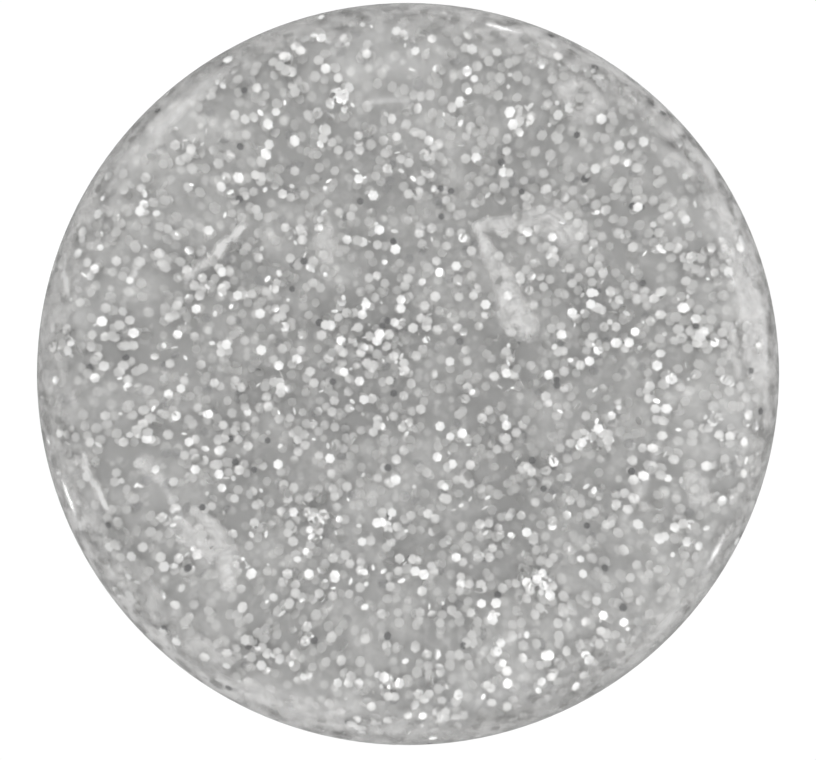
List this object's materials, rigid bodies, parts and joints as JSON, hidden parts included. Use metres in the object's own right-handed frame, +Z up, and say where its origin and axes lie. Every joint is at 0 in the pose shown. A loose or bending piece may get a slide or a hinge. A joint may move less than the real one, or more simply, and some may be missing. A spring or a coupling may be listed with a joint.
{
  "type": "nail polish bottle",
  "caption": "Round clear glass bottle of silver glitter nail polish, with a tall black screw cap, silver trim and a brush on the cap.",
  "frame": {"origin": "centre of the flat base, on the surface that the bottle stands on", "axes": "+Z up along the axis of the bottle, from the base to the cap; +X along the wide side of the flat brush"},
  "size_m": [0.03, 0.03, 0.078],
  "materials": {
    "clear_glass": "clear, polished",
    "glitter_polish": "pearly grey lacquer full of silver hexagonal glitter",
    "gasket_foam": "soft foam",
    "stem_plastic": "satin moulded",
    "anchor_metal": "bright strip",
    "bristle_nylon": "fine filaments",
    "inner_cap_plastic": "moulded",
    "overcap_plastic": "glossy black",
    "silver_trim": "bright silver"
  },
  "bodies": {
    "bottle": {"glass_bottle": "clear_glass", "polish": "glitter_polish"},
    "gasket": {"sealing_gasket": "gasket_foam"},
    "brush": {"brush_stem": "stem_plastic", "bristle_anchor": "anchor_metal"},
    "bristles": {"bristle_tuft": "bristle_nylon"},
    "cap": {"inner_cap": "inner_cap_plastic", "overcap": "overcap_plastic", "trim_ring": "silver_trim", "top_disc": "silver_trim"}
  },
  "joints": [
    {"name": "brush_withdraw", "type": "slide", "parent": "bottle", "child": "gasket", "axis": [0, 0, 1], "range_m": [0, 0.065]},
    {"name": "thread_rise", "type": "slide", "parent": "gasket", "child": "brush", "axis": [0, 0, 1], "range_m": [0, 0.00424]},
    {"name": "cap_turn", "type": "hinge", "parent": "brush", "child": "cap", "pos_m": [0, 0, 0.045], "axis": [0, 0, 1], "range_deg": [0, 720]},
    {"name": "bristle_flex", "type": "hinge", "parent": "brush", "child": "bristles", "pos_m": [0, 0, 0.021], "axis": [1, 0, 0], "range_deg": [-25, 25], "stiffness_Nm_per_rad": 0.0005, "deforming": ["polish"]}
  ],
  "couplings": [
    {"joint": "thread_rise", "follows": "cap_turn", "m_per_rad": 0.00033688}
  ]
}
